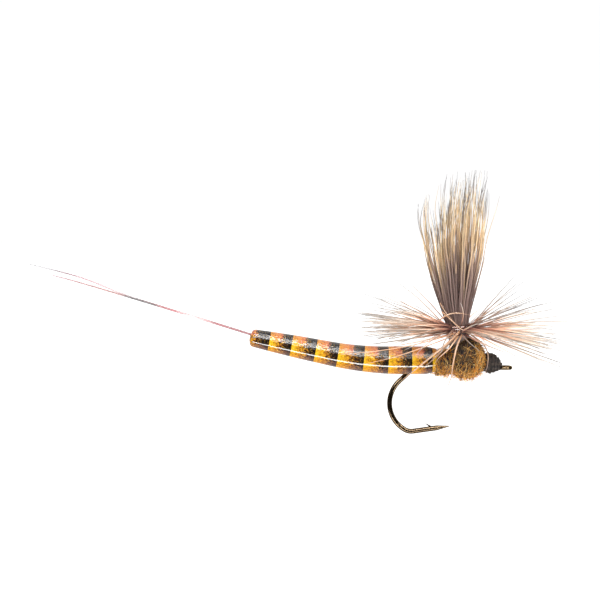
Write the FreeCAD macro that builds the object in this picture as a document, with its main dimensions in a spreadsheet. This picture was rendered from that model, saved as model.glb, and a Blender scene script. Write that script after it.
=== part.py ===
"""A detached-body parachute dry fly, tied on a barbed short-shank hook.

Frame: the origin is the centre of the hook eye, +X points forward out of the eye along the shank, +Z is up,
towards the wing, and +Y is the fly's left. Lengths are in millimetres and angles in degrees.

The fly is one hook with everything else bound to it by thread: a tapered foam abdomen that runs free behind
the bend under a printed film and a clear coat, two tail fibres, a post of hair whose free ends are the wing,
a feather wound round the post, a ball of dubbing and a thread head.
"""
import FreeCAD, Part
import math
import os

import Sketcher

DIMENSIONS = {
    # hook
    "wire_diameter": 0.5,
    "eye_wire_diameter": 0.38,
    "eye_ring_radius": 0.5,
    "eye_hole_radius": 0.33,
    "shank_length": 7.8,
    "heel_radius": 2.2,
    "heel_turn": 42.0,
    "slope_length": 1.1,
    "bend_radius": 3.08,
    "bend_turn": 108.0,
    "foot_radius": 1.3,
    "foot_turn": 38.0,
    "spear_length": 2.4,
    "point_length": 1.3,
    "point_tip_radius": 0.04,
    "barb_setback": 0.35,
    "barb_length": 0.75,
    "barb_height": 0.4,
    "barb_width": 0.2,
    # tying thread
    "thread_diameter": 0.12,
    "base_back_gap": 0.1,
    "base_front_gap": 0.2,
    # abdomen, measured forward from its tail end
    "abdomen_front": 6.5,
    "abdomen_belly_drop": 0.65,
    "abdomen_straight": 8.1,
    "abdomen_arc_radius": 34.0,
    "abdomen_rise_angle": 11.5,
    "abdomen_level_past_bend": 2.55,
    "abdomen_round": 0.45,
    "ring_spacing": 1.3,
    "abdomen_end_radius": 0.55,
    "abdomen_tail_radius": 0.86,
    "abdomen_quarter_radius": 1.12,
    "abdomen_middle_radius": 1.25,
    "abdomen_thick_radius": 1.4,
    "abdomen_neck_radius": 0.98,
    "abdomen_neck_length": 1.1,
    "abdomen_neck_height": 0.35,
    "coat_thickness": 0.06,
    "film_thickness": 0.1,
    "flex_past_bend": 2.9,
    "flex_gap": 0.3,
    # tail fibres
    "tail_length": 24.2,
    "tail_short_length": 21.0,
    "tail_root_radius": 0.13,
    "tail_tip_radius": 0.05,
    "tail_root_depth": 0.5,
    "tail_root_gap": 0.1,
    "tail_splay": 1.9,
    "tail_rise_angle": 17.6,
    "socket_radius": 0.42,
    # wing, post and hackle
    "post_setback": 4.75,
    "post_radius": 1.05,
    "post_top": 4.45,
    "post_bend_radius": 0.85,
    "butt_radius": 0.5,
    "butt_height": 0.94,
    "butt_length": 0.8,
    "butt_binding_length": 0.72,
    "post_binding_bottom": 3.3,
    "hair_gap": 0.45,
    "hair_length": 15.1,
    "hair_shortening": 3.6,
    "hair_root_radius": 0.1,
    "hair_tip_radius": 0.035,
    "wing_spread_x": 14.0,
    "wing_spread_y": 11.0,
    "stem_radius": 0.09,
    "stem_pitch": 0.24,
    "stem_turns": 3.0,
    "stem_clearance": 0.03,
    "barb_root_radius": 0.055,
    "barb_tip_radius": 0.02,
    "barb_gap": 0.03,
    "barb_length_back": 8.0,
    "barb_length_front": 8.9,
    "barb_rise_lowest": -12.0,
    "barb_rise_highest": 14.0,
    "barb_tilt": 8.0,
    # dubbing, legs and head
    "dubbing_radius": 2.15,
    "dubbing_height": 1.0,
    "dubbing_back_radius": 1.5,
    "dubbing_shoulder_radius": 1.85,
    "dubbing_chest_radius": 1.55,
    "dubbing_front_radius": 1.05,
    "dubbing_back": 7.5,
    "dubbing_front": 1.95,
    "leg_root_radius": 0.09,
    "leg_tip_radius": 0.05,
    "head_radius": 1.0,
    "head_shoulder_radius": 0.92,
    "head_tip_radius": 0.34,
    "head_height": 0.46,
    "head_tip_height": 0.2,
    "head_tip": 0.42,
}
COUNTS = {"hairs": 31, "barbs_each_turn": 14}
# sections in a quarter turn of a bent loft, and in a whole turn of the hackle stem
RING_STEPS = 4
STEM_RINGS = 24
# how far a cutting tool runs on past the face it cuts
OVERSHOOT = 1.0
# each leg's reach along, its foot's height and its reach outwards past the fur
LEG_REACH = [(-5.6, -0.9, -0.8), (-3.4, 0.2, -0.7), (-1.1, -1.5, -0.6), (2.4, -0.4, -0.3)]
# each leg leaves the fur this far back of the post, the next one this much further forward
LEG_START, LEG_STEP = -0.4, 0.35
# shares of the fur ball's radius: a leg's root height, its root depth and its knee's rise and reach
LEG_ROOT_RISE, LEG_ROOT_REACH, KNEE_RISE, KNEE_REACH = 0.5, 0.55, 0.2, 0.35
# where the fur ball's shoulder and middle stand between its back and the post, and its chest beyond the post
SHOULDER_SHARE, MIDDLE_SHARE, CHEST_SHARE = 0.45, 0.2, 0.75
# shares of the wire's radius and of the barb's length: how deep the barb is rooted, and how long its root is
BARB_ROOT_SHARE, BARB_FOOT_SHARE = 0.6, 0.45
# how much of the swell from butts to post is done over the post's bend, and at the top of the bend
BEND_SWELL, TOP_SWELL = 0.5, 0.6
# the outermost hair's centre stays this many hair radii inside the post
HAIR_EDGE = 1.5
# each turn of thread stands proud of its sleeve by this share of the thread's diameter
BULGE_SHARE = 0.22
GOLDEN_ANGLE = 180.0 * (3.0 - math.sqrt(5.0))
UP = FreeCAD.Vector(0, 0, 1)
FORWARD = FreeCAD.Vector(1, 0, 0)
# turns a ring's seam to the fly's left, clear of everything that crosses the middle plane
SEAM_TURN = FreeCAD.Rotation(UP, 90)
SUBPARTS = []

doc = FreeCAD.newDocument("dry_fly")
sheet = doc.addObject("Spreadsheet::Sheet", "Sheet")
for row, (alias, value) in enumerate({**DIMENSIONS, **COUNTS}.items(), start=1):
    sheet.set(f"A{row}", alias)
    sheet.set(f"B{row}", str(value))
    sheet.setAlias(f"B{row}", alias)
doc.recompute()


def size(alias):
    """A driving dimension as the sheet holds it."""
    return float(sheet.get(alias))


def bind(thing, **properties):
    """Ties properties of a document object to expressions of the sheet's cells."""
    for name, expression in properties.items():
        thing.setExpression(name, expression)
    return thing


def part(label, thing):
    """Names a finished sub-part. Its label is also its file's name."""
    thing.Label = label
    SUBPARTS.append(thing)
    return thing


# ---------------------------------------------------------------- shared forms


def point_at(x, z, y=0.0):
    return FreeCAD.Vector(x, y, z)


def origin_plane(body, role):
    return next(f for f in body.Origin.OriginFeatures if f.Role == role)


def sketch_on(body, name, role, x=0.0, y=0.0, z=0.0, turn=0.0):
    """A sketch on one of the body's origin planes, shifted by x, y, z and turned in its own plane."""
    sketch = body.newObject("Sketcher::SketchObject", name)
    sketch.AttachmentSupport = [(origin_plane(body, role), "")]
    sketch.MapMode = "FlatFace"
    rotation = FreeCAD.Rotation(UP, turn)
    sketch.AttachmentOffset = FreeCAD.Placement(FreeCAD.Vector(x, y, z), rotation)
    return sketch


def rope_profile(outline, inner):
    """Sketch edges of a wound sleeve: one bulge for each turn of thread, closed by a line at the inner radius.

    The outline is a list of (along, radius) points. The sleeve is revolved about the sketch's horizontal axis.
    """
    flat = [FreeCAD.Vector(a, r, 0) for a, r in outline]
    thread = size("thread_diameter")
    bulge = thread * BULGE_SHARE
    edges = []
    for start, end in zip(flat, flat[1:]):
        run = end - start
        turns = max(1, round(run.Length / thread))
        outward = FreeCAD.Vector(-run.y, run.x, 0).normalize()
        if outward.y < 0:
            outward = -outward
        for i in range(turns):
            a = start + run * (i / turns)
            b = start + run * ((i + 1) / turns)
            edges.append(Part.Arc(a, (a + b) * 0.5 + outward * bulge, b))
    first, last = flat[0], flat[-1]
    low_first, low_last = (FreeCAD.Vector(p.x, inner, 0) for p in (first, last))
    edges.append(Part.LineSegment(last, low_last))
    edges.append(Part.LineSegment(low_last, low_first))
    edges.append(Part.LineSegment(low_first, first))
    return edges


def wound_sleeve(name, outline, inner, **place):
    """A body revolved from a wound profile about the sketch's horizontal axis."""
    body = doc.addObject("PartDesign::Body", name)
    sketch = sketch_on(body, name + "_profile", "XZ_Plane", **place)
    sketch.addGeometry(rope_profile(outline, inner), False)
    spin = body.newObject("PartDesign::Revolution", name + "_turns")
    spin.Profile = sketch
    spin.ReferenceAxis = (sketch, ["H_Axis"])
    spin.Angle = 360.0
    doc.recompute()
    return body


def rod(name, start, end, root_radius, tip_radius):
    """A tapered round fibre between two points, its radii tied to the sheet."""
    run = end - start
    cone = doc.addObject("Part::Cone", name)
    bind(cone, Radius1="Sheet." + root_radius, Radius2="Sheet." + tip_radius)
    cone.Height = run.Length
    cone.Placement = FreeCAD.Placement(start, FreeCAD.Rotation(UP, run))
    return cone


def ring(name, centre, direction, radius):
    """A circle facing along direction, with its radius as an expression of the sheet."""
    circle = doc.addObject("Part::Circle", name)
    bind(circle, Radius=radius)
    circle.Placement = FreeCAD.Placement(centre, FreeCAD.Rotation(UP, direction) * SEAM_TURN)
    return circle


def eight_sided(name, centre, direction, radius):
    """An eight-sided section facing along direction, with its corner radius as an expression of the sheet."""
    polygon = doc.addObject("Part::RegularPolygon", name)
    polygon.Polygon = 8
    bind(polygon, Circumradius=radius)
    polygon.Placement = FreeCAD.Placement(centre, FreeCAD.Rotation(UP, direction))
    return polygon


def loft(name, rings, faceted=False):
    """A solid through the rings in turn: smooth, or with straight sides between each two when faceted."""
    skin = doc.addObject("Part::Loft", name)
    skin.Sections = rings
    skin.Solid = True
    skin.Ruled = faceted
    return skin


def bent_fibre(name, points, root_radius, tip_radius):
    """A tapered fibre lofted along a smooth curve through the points."""
    curve = Part.BSplineCurve()
    curve.interpolate(points)
    facing = 1 if points[-1].z > points[0].z else -1
    stations = 2 * len(points)
    rings = []
    for i in range(stations):
        share = i / (stations - 1)
        where = curve.FirstParameter + share * (curve.LastParameter - curve.FirstParameter)
        radius = f"Sheet.{root_radius} + {share} * (Sheet.{tip_radius} - Sheet.{root_radius})"
        along = FreeCAD.Vector(*curve.tangent(where)[0]) * facing
        rings.append(eight_sided(f"{name}_section", curve.value(where), along, radius))
    return loft(name, rings, faceted=True)


def cut(name, base, tool):
    difference = doc.addObject("Part::Cut", name)
    difference.Base = base
    difference.Tool = tool
    return difference


def fuse(name, *shapes):
    union = doc.addObject("Part::MultiFuse", name)
    union.Shapes = list(shapes)
    return union


def cylinder(name, start, direction, radius, height):
    """A cylinder from start along direction, with radius and height as expressions of the sheet."""
    rod_shape = doc.addObject("Part::Cylinder", name)
    bind(rod_shape, Radius=radius, Height=height)
    rod_shape.Placement = FreeCAD.Placement(start, FreeCAD.Rotation(UP, direction))
    return rod_shape


# ------------------------------------------------------------------- positions

EYE_BACK = -size("eye_ring_radius")
BEND_START = EYE_BACK - size("shank_length")
BASE_RADIUS = size("wire_diameter") / 2 + size("thread_diameter")
BULGE = size("thread_diameter") * BULGE_SHARE
NECK_FRONT = -size("abdomen_front")
POST_X = -size("post_setback")
AXIS_HEIGHT = size("abdomen_thick_radius") - size("abdomen_belly_drop")
LEVEL_START = BEND_START - size("abdomen_level_past_bend")
ARC_LENGTH = size("abdomen_arc_radius") * math.radians(size("abdomen_rise_angle"))
LEVEL_FROM = size("abdomen_straight") + ARC_LENGTH
ABDOMEN_LENGTH = LEVEL_FROM + NECK_FRONT - LEVEL_START
NECK_START = ABDOMEN_LENGTH - size("abdomen_neck_length")
NECK_END = ABDOMEN_LENGTH - size("abdomen_neck_length") / 2


def abdomen_point(distance):
    """The abdomen's axis at a distance forward of its tail end: (point, forward direction).

    It falls straight, then follows one long arc, then runs level over the shank; its neck dips to the shank.
    """
    radius, height = size("abdomen_arc_radius"), AXIS_HEIGHT
    if distance >= LEVEL_FROM:
        dip = min(1.0, max(0.0, distance - NECK_START) / (NECK_END - NECK_START))
        height -= dip * (height - size("abdomen_neck_height"))
        return point_at(LEVEL_START + distance - LEVEL_FROM, height), FORWARD
    slope = min(math.radians(size("abdomen_rise_angle")), (LEVEL_FROM - distance) / radius)
    where = point_at(LEVEL_START - radius * math.sin(slope), height + radius * (1 - math.cos(slope)))
    forward = FreeCAD.Vector(math.cos(slope), 0, -math.sin(slope))
    return where - forward * max(0.0, size("abdomen_straight") - distance), forward


FLEX_AT = LEVEL_FROM + BEND_START - size("flex_past_bend") - LEVEL_START
TAIL_END, TAIL_FORWARD = abdomen_point(0.0)


# ------------------------------------------------------------------------ hook


def hook_stations():
    """(x, z, heading) at each end of the wire's straight and curved spans, from the eye to the point's root."""
    x, z, heading = EYE_BACK, 0.0, 180.0
    stations = [(x, z, heading)]
    spans = [
        ("shank_length", None),
        ("heel_radius", "heel_turn"),
        ("slope_length", None),
        ("bend_radius", "bend_turn"),
        ("foot_radius", "foot_turn"),
        ("spear_length", None),
    ]
    for reach, turn in spans:
        before = math.radians(heading)
        if turn is None:
            x += size(reach) * math.cos(before)
            z += size(reach) * math.sin(before)
        else:
            heading += size(turn)
            after = math.radians(heading)
            x += size(reach) * (math.sin(after) - math.sin(before))
            z -= size(reach) * (math.cos(after) - math.cos(before))
        stations.append((x, z, heading))
    return stations


def draw_hook_path(sketch):
    """The wire's centreline as tangent lines and arcs, each dimension tied to the sheet."""
    stations = hook_stations()
    radii = {1: "heel_radius", 3: "bend_radius", 4: "foot_radius"}
    turns = {1: "heel_turn", 3: "bend_turn", 4: "foot_turn"}
    lengths = {0: "shank_length", 2: "slope_length", 5: "spear_length"}
    for i, (start, end) in enumerate(zip(stations, stations[1:])):
        if i in radii:
            radius, heading = size(radii[i]), math.radians(start[2])
            centre = FreeCAD.Vector(start[0] - radius * math.sin(heading), start[1] + radius * math.cos(heading), 0)
            circle = Part.Circle(centre, UP, radius)
            sketch.addGeometry(
                Part.ArcOfCircle(circle, heading - math.pi / 2, math.radians(end[2]) - math.pi / 2), False
            )
        else:
            line = Part.LineSegment(FreeCAD.Vector(start[0], start[1], 0), FreeCAD.Vector(end[0], end[1], 0))
            sketch.addGeometry(line, False)
    for i in range(len(stations) - 2):
        sketch.addConstraint(Sketcher.Constraint("Tangent", i, 2, i + 1, 1))
    sketch.addConstraint(Sketcher.Constraint("Horizontal", 0))
    sketch.addConstraint(Sketcher.Constraint("PointOnObject", 0, 1, -1))
    driving = [("DistanceX", (0, 1, -1, 1), "eye_ring_radius")]
    driving += [("Distance", (i,), alias) for i, alias in lengths.items()]
    driving += [("Radius", (i,), alias) for i, alias in radii.items()]
    driving += [("Angle", (i,), alias) for i, alias in turns.items()]
    for kind, where, alias in driving:
        value = math.radians(size(alias)) if kind == "Angle" else size(alias)
        index = sketch.addConstraint(Sketcher.Constraint(kind, *where, value))
        unit = " * 1 deg" if kind == "Angle" else ""
        sketch.setExpression(f"Constraints[{index}]", f"Sheet.{alias}{unit}")


def make_hook():
    body = doc.addObject("PartDesign::Body", "Hook")
    path = sketch_on(body, "hook_path", "XZ_Plane")
    draw_hook_path(path)

    section = sketch_on(body, "wire_section", "YZ_Plane", z=EYE_BACK)
    section.addGeometry(Part.Circle(FreeCAD.Vector(), UP, size("wire_diameter") / 2), False)
    section.addConstraint(Sketcher.Constraint("Coincident", 0, 3, -1, 1))
    section.addConstraint(Sketcher.Constraint("Radius", 0, size("wire_diameter") / 2))
    section.setExpression("Constraints[1]", "Sheet.wire_diameter / 2")
    section.setExpression(".AttachmentOffset.Base.z", "-Sheet.eye_ring_radius")
    doc.recompute()

    wire = body.newObject("PartDesign::AdditivePipe", "wire")
    wire.Profile = section
    wire.Spine = (path, [f"Edge{i + 1}" for i in range(6)])
    doc.recompute()

    # the point is a cone standing on the wire's end
    x, z, heading = hook_stations()[-1]
    slope = math.radians(heading)
    along = point_at(math.cos(slope), math.sin(slope))
    spike = body.newObject("PartDesign::AdditiveCone", "point")
    spike.Placement = FreeCAD.Placement(point_at(x, z), FreeCAD.Rotation(UP, along))
    bind(spike, Radius1="Sheet.wire_diameter / 2", Radius2="Sheet.point_tip_radius", Height="Sheet.point_length")
    doc.recompute()

    # the barb is a thin sliver raised from the top of the spear, pointing back towards the bend
    barb = sketch_on(body, "barb_outline", "XZ_Plane", x=x, y=z, turn=heading - 360.0)
    setback, wire_radius = size("barb_setback"), size("wire_diameter") / 2
    depth = wire_radius * BARB_ROOT_SHARE
    root = FreeCAD.Vector(-setback, depth, 0)
    foot = FreeCAD.Vector(-setback - size("barb_length") * BARB_FOOT_SHARE, depth, 0)
    peak = FreeCAD.Vector(-setback - size("barb_length"), wire_radius + size("barb_height"), 0)
    for a, b in ((root, peak), (peak, foot), (foot, root)):
        barb.addGeometry(Part.LineSegment(a, b), False)
    blade = body.newObject("PartDesign::Pad", "barb")
    blade.Profile = barb
    blade.SideType = "Symmetric"
    bind(blade, Length="Sheet.barb_width")
    doc.recompute()

    loop = body.newObject("PartDesign::AdditiveTorus", "eye_ring")
    bind(loop, Radius1="Sheet.eye_ring_radius", Radius2="Sheet.eye_wire_diameter / 2")
    doc.recompute()

    hole = sketch_on(body, "eye_hole", "XY_Plane")
    hole.addGeometry(Part.Circle(FreeCAD.Vector(), UP, size("eye_hole_radius")), False)
    hole.addConstraint(Sketcher.Constraint("Coincident", 0, 3, -1, 1))
    hole.addConstraint(Sketcher.Constraint("Radius", 0, size("eye_hole_radius")))
    hole.setExpression("Constraints[1]", "Sheet.eye_hole_radius")
    bore = body.newObject("PartDesign::Pocket", "eye_bore")
    bore.Profile = hole
    bore.SideType = "Symmetric"
    bind(bore, Length=f"Sheet.eye_wire_diameter + {OVERSHOOT}")
    doc.recompute()
    return part("hook", body)


# ---------------------------------------------------------------------- thread


def make_thread_base():
    """The first layer of thread, laid along the shank."""
    back = BEND_START + size("base_back_gap")
    front = -size("eye_ring_radius") - size("eye_wire_diameter") / 2 - size("base_front_gap")
    outline = [(back, BASE_RADIUS), (front, BASE_RADIUS)]
    return part("thread_base", wound_sleeve("Thread_base", outline, size("wire_diameter") / 2))


def with_room(name, sleeve, back, front, height, radius):
    """A sleeve along the shank together with all the room inside it, to keep the fur out of it."""
    room = cylinder(f"{name}_room", point_at(back, height), FORWARD, str(radius), str(front - back))
    return fuse(name, sleeve, room)


def make_abdomen_binding():
    """Thread round the abdomen's neck, where it is bound to the shank. Gives the sleeve and the room it takes."""
    front = NECK_FRONT
    back = front - (ABDOMEN_LENGTH - NECK_END)
    radius, height = size("abdomen_neck_radius"), size("abdomen_neck_height")
    outline = [(back, radius + size("thread_diameter")), (front, radius + size("thread_diameter"))]
    sleeve = wound_sleeve("Abdomen_binding_turns", outline, radius, y=height)
    return sleeve, with_room("Neck_bundle", sleeve, back, front, height, radius)


def make_butt_binding():
    """Thread round the hair butts and the shank together. Gives the room it takes."""
    top = size("butt_height") + size("butt_radius")
    centre = (top - BASE_RADIUS - BULGE) / 2
    radius = (top + BASE_RADIUS + BULGE) / 2
    front = POST_X - size("post_bend_radius")
    back = front - size("butt_binding_length")
    outline = [(back, radius + size("thread_diameter")), (front, radius + size("thread_diameter"))]
    sleeve = part("butt_binding", wound_sleeve("Butt_binding", outline, radius, y=centre))
    return with_room("Butt_bundle", sleeve, back, front, centre, radius)


def make_post_binding():
    """Thread wound up the foot of the hair post, as the base for the hackle."""
    radius = size("post_radius")
    outline = [(-size("post_top"), radius + size("thread_diameter"))]
    outline.append((-size("post_binding_bottom"), radius + size("thread_diameter")))
    body = wound_sleeve("Post_binding", outline, radius, x=POST_X, turn=-90.0)
    return part("post_binding", body)


# --------------------------------------------------------------------- abdomen


def abdomen_radius(distance):
    """The abdomen's outer radius at a distance from its tail end, as an expression of the sheet."""
    rounding = size("abdomen_round")
    if distance < rounding:
        share = math.sqrt(1 - (1 - distance / rounding) ** 2)
        return f"(Sheet.abdomen_end_radius + {share} * (Sheet.abdomen_tail_radius - Sheet.abdomen_end_radius))"
    knots = [
        (rounding, "abdomen_tail_radius"),
        (ABDOMEN_LENGTH / 4, "abdomen_quarter_radius"),
        (ABDOMEN_LENGTH / 2, "abdomen_middle_radius"),
        (ABDOMEN_LENGTH * 3 / 4, "abdomen_thick_radius"),
        (NECK_START, "abdomen_thick_radius"),
        (NECK_END, "abdomen_neck_radius"),
        (ABDOMEN_LENGTH, "abdomen_neck_radius"),
    ]
    for (start, first), (end, second) in zip(knots, knots[1:]):
        if distance <= end:
            break
    share = min(1.0, (distance - start) / (end - start))
    return f"(Sheet.{first} + {share} * (Sheet.{second} - Sheet.{first}))"


def abdomen_solid(name, start, end, inset):
    """A solid length of the abdomen, its surface lying the named thicknesses inside the outer skin."""
    depth = sum(size(alias) for alias in inset)
    taken = "".join(f" - Sheet.{alias}" for alias in inset)
    marks = [start]
    if start == 0.0:
        rounding = size("abdomen_round") - depth
        turns = [math.radians(90 * i / RING_STEPS) for i in range(RING_STEPS + 1)]
        marks = [depth + rounding * (1 - math.cos(turn)) for turn in turns]
    first, last = marks[-1], min(end, NECK_START)
    spans = math.ceil((last - first) / size("ring_spacing"))
    marks += [first + (last - first) * i / spans for i in range(1, spans + 1)]
    if end > NECK_START:
        marks += [NECK_END, (NECK_END + end) / 2, end]
    rings = []
    for distance in marks:
        where, forward = abdomen_point(distance)
        rings.append(ring(f"{name}_ring", where, forward, abdomen_radius(distance) + taken))
    return loft(name, rings, faceted=True)


def make_abdomen_length(suffix, start, end, core_opening, skin_opening):
    """Core, printed film and clear coat of one length of the abdomen, each cut by what passes through it."""
    layers = {"coat": [], "film": ["coat_thickness"], "core": ["coat_thickness", "film_thickness"]}
    solids = {
        layer: abdomen_solid(f"Abdomen_{layer}{suffix}_solid", start, end, inset) for layer, inset in layers.items()
    }
    inside = {"coat": solids["film"], "film": solids["core"]}
    for layer in ("core", "film", "coat"):
        shell = solids[layer]
        if layer in inside:
            shell = cut(f"Abdomen_{layer}{suffix}_shell", shell, inside[layer])
        opening = core_opening if layer == "core" else skin_opening
        part(f"abdomen_{layer}{suffix}", cut(f"Abdomen_{layer}{suffix}", shell, opening))
    return solids["coat"]


def make_rear_abdomen():
    """The free length of the abdomen, with the socket its tail fibres stand in."""
    depth = f"Sheet.tail_root_depth + Sheet.tail_root_gap + {OVERSHOOT}"
    mouth = TAIL_END - TAIL_FORWARD * OVERSHOOT
    socket = cylinder("Tail_socket", mouth, TAIL_FORWARD, "Sheet.socket_radius", depth)
    make_abdomen_length("", 0.0, FLEX_AT - size("flex_gap") / 2, socket, socket)


def make_front_abdomen(hook, shank):
    """The length of the abdomen tied on the shank. The hook's heel leaves through its underside."""
    return make_abdomen_length("_front", FLEX_AT + size("flex_gap") / 2, ABDOMEN_LENGTH, shank, hook)


# ----------------------------------------------------------------- tail fibres


def make_tail_fibre(side, length):
    """One tail fibre. side is +1 for the fly's left and -1 for its right."""
    root = TAIL_END + TAIL_FORWARD * size("tail_root_depth") + point_at(0, 0, side * size("tail_root_radius"))
    splay = math.radians(side * size("tail_splay"))
    rise = math.radians(size("tail_rise_angle"))
    backwards = FreeCAD.Vector(-math.cos(rise) * math.cos(splay), math.sin(splay), math.sin(rise))
    name = "tail_fibre_left" if side > 0 else "tail_fibre_right"
    fibre = rod(name.capitalize(), root, root + backwards * size(length), "tail_root_radius", "tail_tip_radius")
    return part(name, fibre)


# ------------------------------------------------------------- wing and hackle


def make_post():
    """The hair bundle: its butts lie along the shank, then it turns up into the post."""
    bend = size("post_bend_radius")
    low = size("butt_height")
    back = POST_X - bend - size("butt_length")
    rings = []
    for x in (back, POST_X - bend):
        rings.append(ring("Post_ring", point_at(x, low), FORWARD, "Sheet.butt_radius"))
    swell = "Sheet.butt_radius + {share} * (Sheet.post_radius - Sheet.butt_radius)"
    for i in range(1, RING_STEPS):
        turn = math.radians(90 * i / RING_STEPS)
        where = point_at(POST_X - bend + bend * math.sin(turn), low + bend * (1 - math.cos(turn)))
        along = FreeCAD.Vector(math.cos(turn), 0, math.sin(turn))
        rings.append(ring("Post_ring", where, along, swell.format(share=BEND_SWELL * i / RING_STEPS)))
    rings.append(ring("Post_ring", point_at(POST_X, low + bend), UP, swell.format(share=TOP_SWELL)))
    for z in (size("post_binding_bottom"), size("post_top")):
        rings.append(ring("Post_ring", point_at(POST_X, z), UP, "Sheet.post_radius"))
    return loft("Post_bundle", rings, faceted=True)


def make_wing_hair():
    """The free hair above the post: a fan of tapered hairs, leaning most where they stand furthest out."""
    hairs = []
    count = int(size("hairs"))
    foot = size("post_top") + size("hair_gap")
    room = size("post_radius") - size("hair_root_radius") * HAIR_EDGE
    for i in range(count):
        turn = math.radians(i * GOLDEN_ANGLE)
        out = math.sqrt((i + 0.5) / count)
        lean_x = math.radians(size("wing_spread_x") * out * math.cos(turn))
        lean_y = math.radians(size("wing_spread_y") * out * math.sin(turn))
        start = point_at(POST_X + room * out * math.cos(turn), foot, room * out * math.sin(turn))
        along = FreeCAD.Vector(math.tan(lean_x), math.tan(lean_y), 1).normalize()
        uneven = (1 + math.sin(3 * turn)) / 2
        length = size("hair_length") - size("hair_shortening") * out**2 * uneven
        hairs.append(rod("Hair", start, start + along * length, "hair_root_radius", "hair_tip_radius"))
    return part("wing_hair", fuse("Wing_hair", *hairs))


def stem_coil_radius():
    sleeve = size("post_radius") + size("thread_diameter") + BULGE
    return sleeve + size("stem_radius") + size("stem_clearance")


def make_hackle_stem():
    """The hackle feather's stem, wound in close turns up the post binding. Also gives the height it starts at."""
    radius, pitch = stem_coil_radius(), size("stem_pitch")
    turns = size("stem_turns")
    start_z = (size("post_top") + size("post_binding_bottom") - pitch * turns) / 2
    rings = []
    for i in range(int(turns * STEM_RINGS) + 1):
        wraps = i / STEM_RINGS
        turn = 2 * math.pi * wraps
        where = point_at(POST_X + radius * math.cos(turn), start_z + wraps * pitch, radius * math.sin(turn))
        along = FreeCAD.Vector(-math.sin(turn), math.cos(turn), pitch / (2 * math.pi * radius))
        section = eight_sided("Stem_section", where, along, "Sheet.stem_radius")
        # every section starts at its outermost corner, so that the loft between them has no twist
        outward = FreeCAD.Vector(math.cos(turn), math.sin(turn), 0)
        section.Placement = FreeCAD.Placement(where, FreeCAD.Rotation(outward, FreeCAD.Vector(), along, "ZXY"))
        rings.append(section)
    return part("hackle_stem", loft("Hackle_stem", rings, faceted=True)), start_z


def make_hackle_barbs(start_z):
    """The barbs, standing out from each turn of the stem; lower turns droop and upper turns rise."""
    barbs = []
    each = int(size("barbs_each_turn"))
    turns = int(size("stem_turns"))
    root_radius = stem_coil_radius() + size("stem_radius") + size("barb_gap")
    lowest, highest = size("barb_rise_lowest"), size("barb_rise_highest")
    for i in range(each * turns):
        wraps = (i + 0.5) / each
        turn = 2 * math.pi * wraps
        rise = lowest + (highest - lowest) * int(wraps) / (turns - 1) - size("barb_tilt") * math.cos(turn)
        rise = math.radians(rise)
        forward = (1 + math.cos(turn)) / 2
        length = size("barb_length_back") + forward * (size("barb_length_front") - size("barb_length_back"))
        outward = FreeCAD.Vector(math.cos(turn), math.sin(turn), 0)
        start = point_at(POST_X, start_z + wraps * size("stem_pitch")) + outward * root_radius
        end = start + (outward * math.cos(rise) + UP * math.sin(rise)) * length
        barbs.append(rod("Barb", start, end, "barb_root_radius", "barb_tip_radius"))
    return part("hackle_barbs", fuse("Hackle_barbs", *barbs))


# ------------------------------------------------------- dubbing, legs and head


def make_dubbing_ball():
    """The outline of the fur ball, before the things it is spun round are cut from it."""
    back, front = -size("dubbing_back"), -size("dubbing_front")
    neck, head = size("dubbing_height"), size("head_height")
    stations = [
        (back, AXIS_HEIGHT, "dubbing_back_radius"),
        (back + (POST_X - back) * SHOULDER_SHARE, (AXIS_HEIGHT + neck) / 2, "dubbing_shoulder_radius"),
        (POST_X + (front - POST_X) * MIDDLE_SHARE, neck, "dubbing_radius"),
        (POST_X + (front - POST_X) * CHEST_SHARE, (neck + head) / 2, "dubbing_chest_radius"),
        (front, head, "dubbing_front_radius"),
    ]
    rings = [ring("Dubbing_ring", point_at(x, z), FORWARD, "Sheet." + radius) for x, z, radius in stations]
    return loft("Dubbing_ball", rings)


def make_legs():
    """Long loose guard hairs left hanging from the near side of the dubbing as legs."""
    radius = size("dubbing_radius")
    legs = []
    for i, (reach_x, drop_z, reach_y) in enumerate(LEG_REACH):
        height = size("dubbing_height") + radius * LEG_ROOT_RISE
        start = point_at(POST_X + LEG_START + LEG_STEP * i, height, -radius * LEG_ROOT_REACH)
        end = point_at(POST_X + reach_x, drop_z, -radius + reach_y)
        knee = (start + end) * 0.5 + point_at(0, radius * KNEE_RISE, -radius * KNEE_REACH)
        legs.append(bent_fibre(f"Leg_{i + 1}", [start, knee, end], "leg_root_radius", "leg_tip_radius"))
    return part("leg_hairs", fuse("Leg_hairs", *legs))


def make_head():
    """The thread head: a cone of ridged wraps from the dubbing down to the back of the eye."""
    front, back = -size("head_tip"), -size("dubbing_front")
    drop = size("head_tip_height") - size("head_height")
    axis = point_at(front - back, drop)
    steps = 2 * round(axis.Length / size("thread_diameter"))
    rings = []
    for i in range(steps + 1):
        share = i / steps
        first, second, part_way = "head_radius", "head_shoulder_radius", 2 * share
        if share > 0.5:
            first, second, part_way = "head_shoulder_radius", "head_tip_radius", 2 * share - 1
        radius = f"Sheet.{first} + {part_way} * (Sheet.{second} - Sheet.{first})"
        if i % 2:
            radius += f" + {BULGE_SHARE} * Sheet.thread_diameter"
        rings.append(ring("Head_ring", point_at(back, size("head_height")) + axis * share, axis, radius))
    return loft("Head_turns", rings, faceted=True)


# -------------------------------------------------------------------- assembly


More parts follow.
